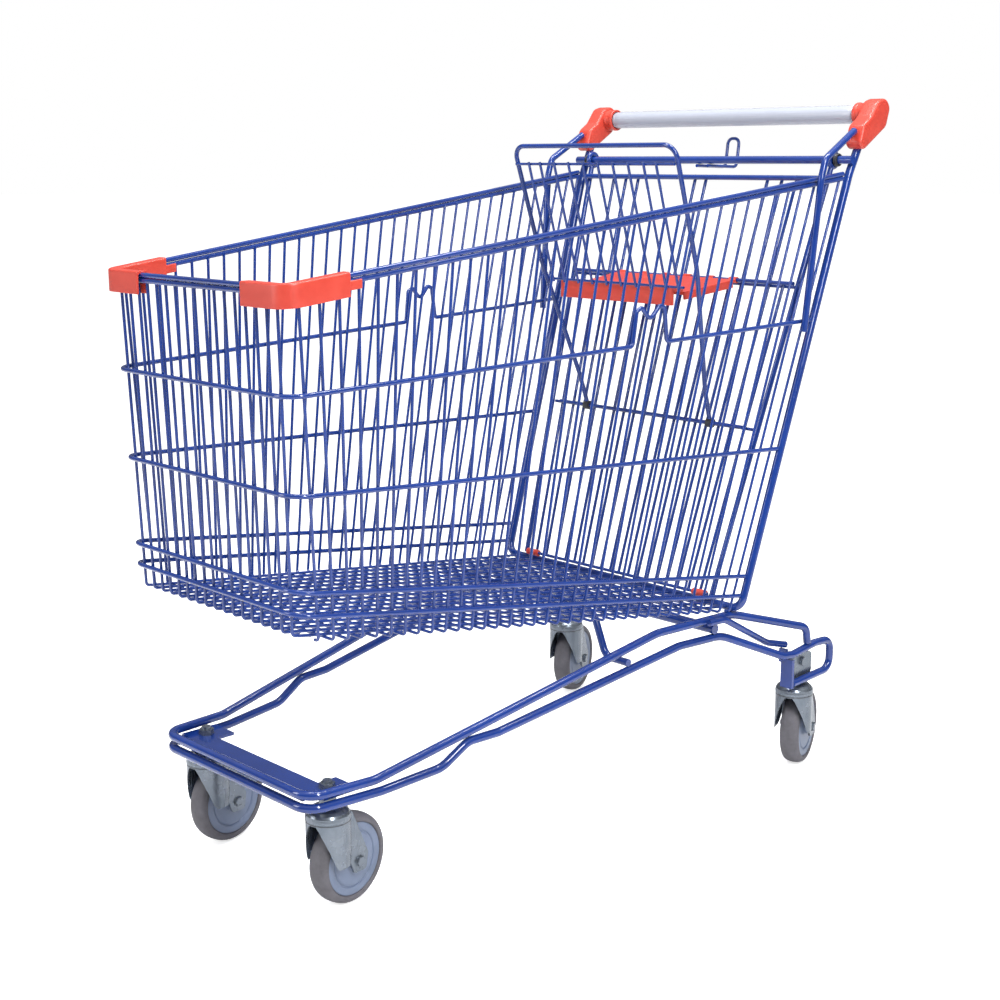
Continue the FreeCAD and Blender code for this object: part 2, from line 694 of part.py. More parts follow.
def gate_point(x, drop, forward=0.0):
    """A point of the gate: sideways, down its plane from the hinge axis, and out towards the nose."""
    y = bar_y() - drop * math.sin(GATE_SLOPE) - forward * math.cos(GATE_SLOPE)
    z = BAR_Z - drop * math.cos(GATE_SLOPE) + forward * math.sin(GATE_SLOPE)
    return (x, y, z)


def gate_half(drop):
    return mix(GATE_TOP_HALF, GATE_BOTTOM_HALF, drop / GATE_DROP)


def gate_side_rod():
    """Side rod with the eye that hangs on the crossbar."""
    eye_r = FRAME / 2.0 + RUNNING_GAP + GATE_ROD / 2.0
    centre = V(*gate_point(gate_half(0.0), 0.0))
    eye = Part.makeTorus(eye_r, GATE_ROD / 2.0, centre, X_AXIS)
    start = gate_point(gate_half(eye_r), eye_r)
    end = gate_point(gate_half(GATE_DROP), GATE_DROP)
    return fused([eye, rod([start, end], GATE_ROD)])


def gate_top_bar():
    half = gate_half(TOP_BAR_DROP) + 5.0
    forward = GATE_ROD + WELD_GAP
    return rod([gate_point(-half, TOP_BAR_DROP, forward), gate_point(half, TOP_BAR_DROP, forward)], GATE_ROD)


def gate_wire(share, top, bottom):
    points = [gate_point(share * gate_half(drop), drop) for drop in (top, bottom)]
    return rod(points, GATE_WIRE)


def gate_cross(drop, behind, reach=0.0):
    half = gate_half(drop) - GATE_ROD / 2.0 - WELD_GAP + reach
    return rod([gate_point(-half, drop, -behind), gate_point(half, drop, -behind)], GATE_WIRE)


BOTTOM_BAR_DROP = GATE_DROP - 2.5


def gate_grille():
    """All wires below the seat, on three cross wires."""
    parts = []
    for share in LEG_HOLE_WIRES + LOWER_ONLY_WIRES:
        for side in (-1.0, 1.0):
            parts.append(gate_wire(side * share, SEAT_DROP, GATE_DROP))
    behind = GATE_WIRE - WELD_BITE
    parts.append(gate_cross(SEAT_DROP + 3.0, behind))
    parts.append(gate_cross(PIVOT_DROP, behind))
    parts.append(gate_cross(BOTTOM_BAR_DROP, -behind))
    return fused(parts)


def gate_leg_wires():
    """Short wires between the top bar and the seat; the leg holes lie between them."""
    wires = []
    for share in LEG_HOLE_WIRES:
        for side in (-1.0, 1.0):
            wires.append(gate_wire(side * share, TOP_BAR_DROP - 6.0, SEAT_DROP))
    return wires


def seat_hinge_point(x):
    return gate_point(x, SEAT_DROP, (GATE_WIRE + PIVOT_ROD) / 2.0 + WELD_GAP)


def pivot_point(x):
    return gate_point(x, PIVOT_DROP, (GATE_WIRE + PIVOT_ROD) / 2.0 + WELD_GAP)


def gate_bumper():
    """Red sleeve on the gate's bottom bar that meets the bottom rod of the rear frame."""
    forward = GATE_WIRE - WELD_BITE
    ends = [V(*gate_point(x, BOTTOM_BAR_DROP, forward)) for x in (163.0, 187.0)]
    body = cylinder(ends[0], ends[1], 5.25)
    body = body.cut(gate_wire(LOWER_ONLY_WIRES[-1], SEAT_DROP, GATE_DROP))
    return body.cut(gate_cross(BOTTOM_BAR_DROP, -forward))


# ---------------------------------------------------------------- child seat

def seat_point(x, up, forward=0.0):
    """A point of the seat back: sideways, up its plane from the pivot, and out towards the nose."""
    _, y, z = pivot_point(0.0)
    y -= up * math.sin(SEAT_LEAN) + forward * math.cos(SEAT_LEAN)
    z += up * math.cos(SEAT_LEAN) - forward * math.sin(SEAT_LEAN)
    return (x, y, z)


EYE_OUTER = 7.0
EYE_X = 126.5                   # the eyes sit between two wires of the gate


def child_seat_loop():
    """Rod loop of the seat back, from one pivot eye to the other."""
    right = [seat_point(EYE_X, EYE_OUTER + 0.5), seat_point(129.0, 55.0), seat_point(157.0, 245.0)]
    right.append(seat_point(160.0, SEAT_LENGTH))
    left = [(-x, y, z) for x, y, z in reversed(right)]
    return rod(right + left, SEAT_ROD, [120.0, 200.0, 20.0, 20.0, 200.0, 120.0])


def child_seat_eyes():
    centre = V(*pivot_point(EYE_X))
    eye = ring(centre, X_AXIS, PIVOT_ROD / 2.0 + RUNNING_GAP, EYE_OUTER, 10.0)
    return both_sides(eye)


LOW_UP, LOW_FORWARD, HIGH_UP = 221.0, 9.0, 404.0


def child_seat_grille():
    """Thin wires of the seat back, welded to the nose side of two cross wires."""
    behind = (SEAT_ROD + SEAT_WIRE) / 2.0 + WELD_GAP
    layer = SEAT_WIRE - WELD_BITE
    parts = [
        rod([seat_point(-158.0, HIGH_UP, behind), seat_point(158.0, HIGH_UP, behind)], SEAT_WIRE),
        rod([seat_point(-134.0, LOW_UP, LOW_FORWARD), seat_point(134.0, LOW_UP, LOW_FORWARD)], SEAT_WIRE),
    ]
    for x in (14.7, 44.1, 73.5, 102.9, 126.5):
        for side in (-1.0, 1.0):
            top = seat_point(side * x, HIGH_UP + 4.0, behind + layer)
            bottom = seat_point(side * x, LOW_UP - 3.0, LOW_FORWARD + layer)
            parts.append(rod([top, bottom], SEAT_WIRE))
    return fused(parts)


PLATE_HALF = 121.0
PLATE_REACH = 116.0
PLATE_SHEET = 5.0


def seat_plate():
    """Red seat: a tray with side skirts and a knuckle on the gate's hinge wire."""
    _, hinge_y, hinge_z = seat_hinge_point(0.0)
    top = hinge_z + PLATE_SHEET / 2.0
    tray = box(-PLATE_HALF, PLATE_HALF, hinge_y - PLATE_REACH, hinge_y - 6.0, top - PLATE_SHEET, top)
    parts = [tray]
    for side in (-1.0, 1.0):
        x0, x1 = sorted((side * (PLATE_HALF - 4.0), side * PLATE_HALF))
        parts.append(box(x0, x1, hinge_y - PLATE_REACH, hinge_y - 12.0, top - 12.0, top - 1.0))
    for x in (-112.0, -67.0, -21.7, 21.7, 67.0, 112.0):
        parts.append(Part.makeCylinder(4.8, 14.0, V(x - 7.0, hinge_y, hinge_z), X_AXIS))
        parts.append(box(x - 7.0, x + 7.0, hinge_y - 8.0, hinge_y, top - PLATE_SHEET, top))
    bore = Part.makeCylinder(PIVOT_ROD / 2.0 + RUNNING_GAP, 600.0, V(-300.0, hinge_y, hinge_z), X_AXIS)
    plate = fused(parts).cut(bore)
    plate.rotate(V(0, hinge_y, hinge_z), X_AXIS, 7.0)
    return plate


def seat_front_rail():
    """Red moulding on the low cross wire of the seat back; the seat plate ends behind it."""
    _, hinge_y, hinge_z = seat_hinge_point(0.0)
    front = seat_point(0.0, LOW_UP, LOW_FORWARD)
    y0 = front[1] - 1.0
    y1 = hinge_y - PLATE_REACH - 3.0
    top = front[2] - SEAT_WIRE / 2.0 - 1.0
    rail = box(-112.0, 112.0, y0, y1, top - 5.0, top + 2.0)
    rail = rail.fuse(box(-112.0, 112.0, y0, y0 + 5.0, top - 24.0, top + 2.0))
    return rail.cut(child_seat_grille())


# ---------------------------------------------------------------- write every node

frame = rear_frame()
stay = handle_stay()
rim = upper_rim()
right_wires = right_side_wires()
front = front_wires()
bracket = handle_bracket(frame, stay)
bumper = corner_bumper(Part.makeCompound([rim, right_wires, front]))

save("basket_rear_frame", frame)
save("rear_crossbar", rear_crossbar())
save("crossbar_loop_hook", crossbar_loop_hook())
save("basket_rim_upper", rim)
save("basket_side_wires_right", right_wires)
save("basket_side_wires_left", mirrored(right_wires))
save("basket_front_wires", front)
save("basket_floor_long_wires", floor_long_wires())
save("basket_floor_cross_wires", floor_cross_wires())
for number in range(len(HOOPS)):
    save("basket_hoop_%d" % (number + 1), hoop(number))
save("corner_bumper_right", bumper)
save("corner_bumper_left", mirrored(bumper))

save("handle_sleeve", handle_sleeve())
save("handle_core_tube", handle_core())
save("handle_bracket_right", bracket)
save("handle_bracket_left", mirrored(bracket))
save("handle_stay_right", stay)
save("handle_stay_left", mirrored(stay))

save("chassis_upper_rail", upper_rail())
save("chassis_lower_rail", lower_rail())
save("chassis_cross_tube", cross_tube())
save("chassis_cradle_brace", cradle_brace())
save("front_castor_plate", front_castor_plate())
save("rear_castor_ties", both_sides(rear_castor_tie()))
save("rear_castor_straps", both_sides(rear_castor_strap()))
save("rear_castor_saddles", both_sides(rear_castor_saddle()))
save("rear_saddle_bolts", both_sides(rear_saddle_bolt()))
save("castor_kingpins", [kingpin(x, y, under) for _, x, y, _, under, _ in castor_places()])
save("castor_nuts", [castor_nut(x, y, under + sheet) for _, x, y, _, under, sheet in castor_places()])

castor_parts = {"fork": fork(), "axle_bolt": axle_bolt(), "wheel_hub": wheel_hub(), "tyre": tyre()}
for place, x, y, yaw, _, _ in castor_places():
    for part_name, shape in castor_parts.items():
        save("%s_%s" % (part_name, place), placed_castor(shape, x, y, yaw))

save("gate_side_rods", both_sides(gate_side_rod()))
save("gate_top_bar", gate_top_bar())
save("gate_grille", gate_grille())
save("gate_leg_wires", gate_leg_wires())
save("gate_seat_hinge_wire", rod([seat_hinge_point(-222.4), seat_hinge_point(222.4)], PIVOT_ROD))
save("gate_seat_pivot_rod", rod([pivot_point(-188.0), pivot_point(188.0)], PIVOT_ROD))
save("gate_bumpers", both_sides(gate_bumper()))

save("child_seat_loop", child_seat_loop())
save("child_seat_grille", child_seat_grille())
save("child_seat_eyes", child_seat_eyes())
save("child_seat_front_rail", seat_front_rail())
save("child_seat_plate", seat_plate())

hinge = seat_hinge_point(0.0)
pivot = pivot_point(0.0)
print("gate hinge axis y %.3f z %.3f" % (bar_y(), BAR_Z))
print("seat hinge axis y %.3f z %.3f" % (hinge[1], hinge[2]))
print("seat pivot axis y %.3f z %.3f" % (pivot[1], pivot[2]))
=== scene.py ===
# Looks of a supermarket basket trolley: blue powder-coated wire, red moulded parts, a lavender
# handle sleeve and zinc castors. Metres, in the frame of the CAD model. Pieces repeat the driving
# dimensions of the CAD source where a box is not enough to place them.

import json
import math

import bmesh
import bpy
from mathutils import Matrix, Vector


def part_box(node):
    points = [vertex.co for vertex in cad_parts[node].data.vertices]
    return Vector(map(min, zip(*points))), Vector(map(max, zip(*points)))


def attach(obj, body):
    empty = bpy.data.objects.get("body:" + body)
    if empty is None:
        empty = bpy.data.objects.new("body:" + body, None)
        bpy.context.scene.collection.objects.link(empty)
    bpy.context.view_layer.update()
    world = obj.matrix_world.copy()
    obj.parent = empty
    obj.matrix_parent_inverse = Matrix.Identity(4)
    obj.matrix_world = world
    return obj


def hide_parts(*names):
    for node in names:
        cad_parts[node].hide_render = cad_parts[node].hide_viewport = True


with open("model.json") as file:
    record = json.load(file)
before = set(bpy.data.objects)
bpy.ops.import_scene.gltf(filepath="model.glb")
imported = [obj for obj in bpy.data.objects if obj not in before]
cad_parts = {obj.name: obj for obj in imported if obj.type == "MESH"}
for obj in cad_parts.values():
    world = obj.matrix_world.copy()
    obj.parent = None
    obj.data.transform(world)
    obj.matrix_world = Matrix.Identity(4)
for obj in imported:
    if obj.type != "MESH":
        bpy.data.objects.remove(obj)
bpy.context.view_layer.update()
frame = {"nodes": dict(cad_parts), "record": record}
nodes = frame["nodes"]
body_nodes = frame["record"]["behaviour"]["bodies"]
body_of_node = {name: body for body, names in body_nodes.items() for name in names}
slot_of_node = {part["node"]: part["material_slot"] for part in frame["record"]["subparts"]}

MM = 0.001
FRAME_BODY = "basket_and_chassis"
SIDES = ((1.0, "right"), (-1.0, "left"))

# ---------------------------------------------------------------- dimensions shared with the CAD source

WIRE, RIM = 4.0 * MM, 6.5 * MM
FLOOR_FRONT_Y, FLOOR_FRONT_Z = -500.0 * MM, 377.5 * MM
FLOOR_REAR_Y, FLOOR_REAR_Z = 244.0 * MM, 281.5 * MM
FLOOR_SLOPE = (FLOOR_REAR_Z - FLOOR_FRONT_Z) / (FLOOR_REAR_Y - FLOOR_FRONT_Y)
RIM_FRONT_Y, RIM_FRONT_Z = -513.0 * MM, 782.0 * MM
RIM_REAR_Y, RIM_REAR_Z = 425.0 * MM, 901.5 * MM
RIM_SLOPE = (RIM_REAR_Z - RIM_FRONT_Z) / (RIM_REAR_Y - RIM_FRONT_Y)
SIDE_X0, SIDE_PER_Y, SIDE_PER_Z = 211.6 * MM, 0.0815, 0.0174
SIDE_WIRES, FRONT_WIRES = 35, 17
TOP_MARGINS, BOTTOM_MARGINS = (16.0 * MM, 4.0 * MM), (24.0 * MM, 16.0 * MM)
FRONT_TOP_HALF, FRONT_BOTTOM_HALF, FLOOR_REAR_HALF = 166.0 * MM, 160.0 * MM, 219.5 * MM
RIM_OUTSET = 2.5 * MM
UPRIGHT_SLOPE = 0.3123
HOOPS = ((663.0, 697.0), (548.0, 513.0), (434.0, 330.0), (406.0, 302.0))  # front and rear heights, mm
HOOP_FRONT_OUTSET, HOOP_REAR_INSET = 5.0 * MM, 7.6 * MM
HOOK_START, HOOK_END = 8.0 * MM, 79.0 * MM
WHEEL_RADIUS, TRAIL = 59.0 * MM, 33.0 * MM
# x and y of each kingpin in millimetres, and the castor's turn about it in degrees
CASTORS = {
    "front_left": (-133.5, -434.0, 9.0),
    "front_right": (133.5, -434.0, 9.0),
    "rear_left": (-244.0, 384.0, 20.0),
    "rear_right": (244.0, 384.0, 20.0),
}

# ---------------------------------------------------------------- materials


def start_material(name, colour, roughness, metallic=0.0):
    material = bpy.data.materials.new(name)
    material.use_nodes = True
    tree = material.node_tree
    shader = tree.nodes["Principled BSDF"]
    shader.inputs["Base Color"].default_value = (*colour, 1.0)
    shader.inputs["Roughness"].default_value = roughness
    shader.inputs["Metallic"].default_value = metallic
    return material, tree, shader


def object_place(tree, stretch=(1.0, 1.0, 1.0)):
    """Object coordinates, which stay with the piece as it moves."""
    coordinates = tree.nodes.new("ShaderNodeTexCoord")
    mapping = tree.nodes.new("ShaderNodeMapping")
    mapping.inputs["Scale"].default_value = stretch
    tree.links.new(coordinates.outputs["Object"], mapping.inputs["Vector"])
    return mapping.outputs["Vector"]


def noise(tree, place, scale, detail=3.0, roughness=0.55):
    node = tree.nodes.new("ShaderNodeTexNoise")
    node.inputs["Scale"].default_value = scale
    node.inputs["Detail"].default_value = detail
    node.inputs["Roughness"].default_value = roughness
    tree.links.new(place, node.inputs["Vector"])
    return node.outputs["Fac"]


def colour_ramp(tree, source, stops):
    node = tree.nodes.new("ShaderNodeValToRGB")
    elements = node.color_ramp.elements
    while len(elements) < len(stops):
        elements.new(0.5)
    for element, (position, colour) in zip(elements, stops):
        element.position = position
        element.color = (*colour, 1.0)
    tree.links.new(source, node.inputs["Fac"])
    return node.outputs["Color"]


def value_range(tree, source, low, high, from_low=0.3, from_high=0.7):
    node = tree.nodes.new("ShaderNodeMapRange")
    node.inputs["From Min"].default_value = from_low
    node.inputs["From Max"].default_value = from_high
    node.inputs["To Min"].default_value = low
    node.inputs["To Max"].default_value = high
    tree.links.new(source, node.inputs["Value"])
    return node.outputs["Result"]


def bumped(tree, shader, heights):
    """Chain of bumps on the shader; each height is (socket, depth in metres, strength)."""
    normal = None
    for source, depth, strength in heights:
        bump = tree.nodes.new("ShaderNodeBump")
        bump.inputs["Distance"].default_value = depth
        bump.inputs["Strength"].default_value = strength
        tree.links.new(source, bump.inputs["Height"])
        if normal:
            tree.links.new(normal, bump.inputs["Normal"])
        normal = bump.outputs["Normal"]
    tree.links.new(normal, shader.inputs["Normal"])


def blue_powder_coat():
    """Gloss powder coat: faint orange-peel skin and slow drifts of film thickness."""
    deep, full = (0.005, 0.025, 0.160), (0.008, 0.038, 0.225)
    material, tree, shader = start_material("blue_powder_coat", full, 0.2)
    place = object_place(tree)
    drift = noise(tree, place, 9.0, 2.0)
    film = noise(tree, place, 60.0, 2.0)
    peel = noise(tree, place, 700.0, 2.0)
    tree.links.new(colour_ramp(tree, drift, ((0.25, deep), (0.75, full))), shader.inputs["Base Color"])
    tree.links.new(value_range(tree, film, 0.16, 0.24), shader.inputs["Roughness"])
    shader.inputs["Specular IOR Level"].default_value = 0.2
    shader.inputs["Coat Weight"].default_value = 0.9
    shader.inputs["Coat Roughness"].default_value = 0.03
    bumped(tree, shader, ((film, 0.00006, 0.15), (peel, 0.00002, 0.25)))
    return material


def red_plastic():
    """Moulded red plastic: fine spark-eroded grain and faint flow marks."""
    deep, full = (0.48, 0.041, 0.025), (0.56, 0.057, 0.035)
    material, tree, shader = start_material("red_plastic", full, 0.36)
    flow = noise(tree, object_place(tree, (1.0, 3.0, 3.0)), 16.0, 3.0)
    grain = noise(tree, object_place(tree), 1500.0, 2.0, 0.7)
    tree.links.new(colour_ramp(tree, flow, ((0.25, deep), (0.75, full))), shader.inputs["Base Color"])
    tree.links.new(value_range(tree, flow, 0.30, 0.42), shader.inputs["Roughness"])
    shader.inputs["Subsurface Weight"].default_value = 0.06
    shader.inputs["Subsurface Radius"].default_value = (0.004, 0.001, 0.001)
    bumped(tree, shader, ((grain, 0.00005, 0.5),))
    return material


def lavender_plastic():
    """Smooth extruded handle sleeve with faint draw lines along it."""
    cool, full = (0.355, 0.375, 0.435), (0.39, 0.41, 0.475)
    material, tree, shader = start_material("lavender_plastic", full, 0.24)
    lines = noise(tree, object_place(tree, (0.6, 90.0, 90.0)), 12.0, 4.0)
    cloud = noise(tree, object_place(tree), 5.0, 2.0)
    tree.links.new(colour_ramp(tree, cloud, ((0.3, cool), (0.7, full))), shader.inputs["Base Color"])
    tree.links.new(value_range(tree, lines, 0.20, 0.32), shader.inputs["Roughness"])
    bumped(tree, shader, ((lines, 0.00002, 0.2),))
    return material


def zinc_plate():
    """Bright zinc plate: a cool metal with faint cloudy crystals and pressing marks."""
    cool, pale = (0.135, 0.16, 0.19), (0.19, 0.215, 0.25)
    material, tree, shader = start_material("zinc_plate", pale, 0.24, 0.7)
    place = object_place(tree)
    cloud = noise(tree, place, 45.0, 3.0, 0.5)
    speck = noise(tree, place, 900.0, 2.0)
    tree.links.new(colour_ramp(tree, cloud, ((0.3, cool), (0.7, pale))), shader.inputs["Base Color"])
    tree.links.new(value_range(tree, cloud, 0.20, 0.30), shader.inputs["Roughness"])
    bumped(tree, shader, ((speck, 0.00002, 0.3),))
    return material


def tyre_rubber():
    """Grey non-marking rubber, dusty on the tread, with fine moulding grain."""
    dark, pale = (0.072, 0.069, 0.078), (0.132, 0.127, 0.145)
    material, tree, shader = start_material("tyre_rubber", dark, 0.62)
    place = object_place(tree)
    dust = noise(tree, place, 45.0, 5.0, 0.65)
    grain = noise(tree, place, 1300.0, 2.0)
    tree.links.new(colour_ramp(tree, dust, ((0.3, dark), (0.72, pale))), shader.inputs["Base Color"])
    tree.links.new(value_range(tree, dust, 0.55, 0.75), shader.inputs["Roughness"])
    bumped(tree, shader, ((dust, 0.0002, 0.2), (grain, 0.00006, 0.5)))
    return material


def hub_plastic():
    """Pale blue-grey moulded wheel centre with a light satin grain."""
    cool, full = (0.120, 0.155, 0.235), (0.160, 0.200, 0.295)
    material, tree, shader = start_material("hub_plastic", full, 0.4)
    place = object_place(tree)
    cloud = noise(tree, place, 40.0, 4.0)
    grain = noise(tree, place, 1400.0, 2.0)
    tree.links.new(colour_ramp(tree, cloud, ((0.3, cool), (0.7, full))), shader.inputs["Base Color"])
    tree.links.new(value_range(tree, cloud, 0.34, 0.48), shader.inputs["Roughness"])
    bumped(tree, shader, ((grain, 0.00004, 0.5),))
    return material


def dark_plastic():
    """Near-black seals, and the painted-shade rings beside the gate eyes."""
    material, tree, shader = start_material("dark_plastic", (0.02, 0.02, 0.024), 0.45)
    grain = noise(tree, object_place(tree), 1100.0, 3.0)
    tree.links.new(value_range(tree, grain, 0.38, 0.55), shader.inputs["Roughness"])
    bumped(tree, shader, ((grain, 0.00005, 0.5),))
    return material


def galvanised_tube():
    """Dull steel of the tube inside the handle."""
    material, tree, shader = start_material("galvanised_tube", (0.5, 0.51, 0.52), 0.4, 1.0)
    lines = noise(tree, object_place(tree, (0.5, 60.0, 60.0)), 14.0, 4.0)
    tree.links.new(value_range(tree, lines, 0.32, 0.5), shader.inputs["Roughness"])
    bumped(tree, shader, ((lines, 0.00004, 0.4),))
    return material


MATERIALS = {
    "blue_powder_coat": blue_powder_coat(),
    "red_plastic": red_plastic(),
    "lavender_plastic": lavender_plastic(),
    "zinc_plate": zinc_plate(),
    "tyre_rubber": tyre_rubber(),
    "hub_plastic": hub_plastic(),
    "dark_plastic": dark_plastic(),
    "galvanised_tube": galvanised_tube(),
}

# ---------------------------------------------------------------- mesh helpers

EDGE_ANGLE, FLAT_ANGLE = 32.0, 0.8
WELD_DISTANCE = 0.002 * MM


def mix(a, b, share):
    return a + (b - a) * share


def new_piece(name, bm, slot, body, replaced=(), sharp=38.0):
    """Turn a bmesh into a smooth-shaded piece with its material, body and slot."""
    bmesh.ops.recalc_face_normals(bm, faces=bm.faces)
    mesh = bpy.data.meshes.new(name)
    bm.to_mesh(mesh)
    bm.free()
    mesh.polygons.foreach_set("use_smooth", [True] * len(mesh.polygons))
    mesh.set_sharp_from_angle(angle=math.radians(sharp))
    mesh.materials.append(MATERIALS[slot])
    piece = bpy.data.objects.new(name, mesh)
    bpy.context.scene.collection.objects.link(piece)
    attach(piece, body)
    if replaced:
        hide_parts(*replaced)
    return piece


def soften_edges(piece, width, angle):
    """Round every edge sharper than the angle with a bevel of three segments."""
    bevel = piece.modifiers.new("rounding", "BEVEL")
    bevel.width = width
    bevel.segments = 3
    bevel.limit_method = "ANGLE"
    bevel.angle_limit = math.radians(angle)
    bevel.harden_normals = True
    return bevel


def softened(node, width, front_taper=1.0):
    """The CAD node's own shape with round edges, drawn in towards its front if asked."""
    bm = bmesh.new()
    bm.from_mesh(nodes[node].data)
    bmesh.ops.remove_doubles(bm, verts=bm.verts, dist=WELD_DISTANCE)
    flat = math.radians(FLAT_ANGLE)
    bmesh.ops.dissolve_limit(bm, angle_limit=flat, verts=bm.verts, edges=bm.edges)
    front = min(vert.co.y for vert in bm.verts)
    back = max(vert.co.y for vert in bm.verts)
    for vert in bm.verts:
        vert.co.x *= mix(front_taper, 1.0, (vert.co.y - front) / (back - front))
    slot, body = slot_of_node[node], body_of_node[node]
    piece = new_piece(node + "_moulding", bm, slot, body, [node], EDGE_ANGLE)
    soften_edges(piece, width, EDGE_ANGLE).miter_outer = "MITER_ARC"


def rounded(points, radius, steps):
    """The same open line with an arc at each inner corner."""
    points = [Vector(point) for point in points]
    line = [points[0]]
    for before, corner, after in zip(points, points[1:], points[2:]):
        into = corner - before
        out = after - corner
        turn = into.angle(out)
        if turn < 1e-4:
            continue
        reach = min(radius * math.tan(turn / 2.0), into.length * 0.49, out.length * 0.49)
        start = corner - into.normalized() * reach
        end = corner + out.normalized() * reach
        for step in range(steps + 1):
            share = step / steps
            line.append(start.lerp(corner, share).lerp(corner.lerp(end, share), share))
    line.append(points[-1])
    return line


def add_ring(bm, place, along, radius, segments):
    """Ring of vertices round the local X axis; a radius of nought gives one vertex."""
    ring = []
    for index in range(segments if radius > 1e-7 else 1):
        angle = math.tau * index / segments
        point = Vector((along, radius * math.cos(angle), radius * math.sin(angle)))
        ring.append(bm.verts.new(place @ point))
    return ring


def join_rings(bm, rings):
    """Skin of four-sided faces over rings that all have the same number of vertices."""
    for first, second in zip(rings, rings[1:]):
        for index in range(len(first)):
            following = (index + 1) % len(first)
            bm.faces.new((first[index], first[following], second[following], second[index]))


def add_lathe(bm, profile, place, segments=72, closed=False):
    """Turn (along, radius) pairs about the local X axis of a placing matrix."""
    rings = [add_ring(bm, place, along, radius, segments) for along, radius in profile]
    pairs = list(zip(rings, rings[1:]))
    if closed:
        pairs.append((rings[-1], rings[0]))
    for first, second in pairs:
        for index in range(segments):
            following = (index + 1) % segments
            corners = [first[index % len(first)], first[following % len(first)]]
            corners += [second[following % len(second)], second[index % len(second)]]
            corners = list(dict.fromkeys(corners))
            if len(corners) > 2:
                bm.faces.new(corners)


def turned(profile_mm, rounding_mm):
    """A lathe profile given in millimetres, with its corners rounded, as metre pairs."""
    points = [Vector((along * MM, radius * MM, 0.0)) for along, radius in profile_mm]
    return [(point.x, point.y) for point in rounded(points, rounding_mm * MM, 4)]


def along_axis(position, axis):
    """Matrix that takes the local X axis to the given axis at a position."""
    turn = Vector((1, 0, 0)).rotation_difference(Vector(axis).normalized())
    return Matrix.Translation(Vector(position)) @ turn.to_matrix().to_4x4()


def side_matrix(node, side):
    """Matrix on the axis of a crosswise node, with X turned outwards on the given side."""
    low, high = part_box(node)
    centre = (low + high) / 2.0
    return Matrix.Translation((0.0, centre.y, centre.z)) @ Matrix.Diagonal((side, 1.0, 1.0, 1.0))


def unit_bead(sides=8, levels=5):
    """Vertices and faces of a round bead of radius one."""
    points = [(0.0, 0.0, -1.0)]
    for level in range(1, levels):
        reach = math.sin(math.pi * level / levels)
        lift = -math.cos(math.pi * level / levels)
        for step in range(sides):
            angle = math.tau * step / sides
            points.append((reach * math.cos(angle), reach * math.sin(angle), lift))
    points.append((0.0, 0.0, 1.0))
    faces = [(0, 1 + (step + 1) % sides, 1 + step) for step in range(sides)]
    for level in range(levels - 2):
        base = 1 + level * sides
        for step in range(sides):
            following = (step + 1) % sides
            faces.append((base + step, base + following, base + sides + following, base + sides + step))
    last = 1 + (levels - 2) * sides
    faces += [(last + step, last + (step + 1) % sides, last + sides) for step in range(sides)]
    return points, faces


def dress_node(name):
    """The node's own CAD shape with the material of its slot."""
    obj = nodes[name]
    obj.data.materials.clear()
    obj.data.materials.append(MATERIALS[slot_of_node[name]])


for node_name in nodes:
    dress_node(node_name)

# ---------------------------------------------------------------- basket geometry for the weld beads


def floor_z(y):
    return FLOOR_FRONT_Z + FLOOR_SLOPE * (y - FLOOR_FRONT_Y)


def rim_z(y):
    return RIM_FRONT_Z + RIM_SLOPE * (y - RIM_FRONT_Y)


def side_x(y, z):
    return SIDE_X0 + SIDE_PER_Y * y + SIDE_PER_Z * z


def front_y(z):
    lean = (RIM_FRONT_Y - FLOOR_FRONT_Y) / (RIM_FRONT_Z - FLOOR_FRONT_Z)
    return FLOOR_FRONT_Y + lean * (z - FLOOR_FRONT_Z)


def side_wire_line(index):
    """Top and bottom (y, z) of a side wire."""
    share = index / (SIDE_WIRES - 1.0)
    top_y = mix(RIM_FRONT_Y + TOP_MARGINS[0], RIM_REAR_Y - TOP_MARGINS[1], share)
    bottom_y = mix(FLOOR_FRONT_Y + BOTTOM_MARGINS[0], FLOOR_REAR_Y - BOTTOM_MARGINS[1], share)
    return (top_y, rim_z(top_y) - RIM / 2.0), (bottom_y, floor_z(bottom_y) - WIRE)


def hoop_line(front_height, rear_height):
    """Front and rear (y, z) of a hoop's run along the side."""
    front, rear = front_height * MM, rear_height * MM
    rear_y = FLOOR_REAR_Y + UPRIGHT_SLOPE * (rear - FLOOR_REAR_Z) - HOOP_REAR_INSET
    return (front_y(front) - HOOP_FRONT_OUTSET, front), (rear_y, rear)


def meeting(line, other):
    """Where two lines in the YZ plane cross, or None where they pass each other by."""
    (ay, az), (by, bz) = line
    (cy, cz), (dy, dz) = other
    base = (by - ay) * (dz - cz) - (bz - az) * (dy - cy)
    along = ((cy - ay) * (dz - cz) - (cz - az) * (dy - cy)) / base
    across = ((cy - ay) * (bz - az) - (cz - az) * (by - ay)) / base
    if 0.0 < along < 1.0 and 0.0 < across < 1.0:
        return mix(ay, by, along), mix(az, bz, along)
    return None


def side_bead_places():
    """Beads of one side: wires on the hoops, apart from the bag hook, and on the lower rim rod."""
    places = []
    for index in range(SIDE_WIRES):
        wire = side_wire_line(index)
        for number, heights in enumerate(HOOPS):
            found = meeting(wire, hoop_line(*heights))
            on_hook = found and number == 0 and HOOK_START < found[0] < HOOK_END
            if found and not on_hook:
                y, z = found
                places.append(Vector((side_x(y, z) + WIRE / 2.0, y, z)))
        (top_y, top_z), _ = wire
        places.append(Vector((side_x(top_y, top_z) - 0.6 * MM, top_y, top_z - RIM * 0.42)))
    return places


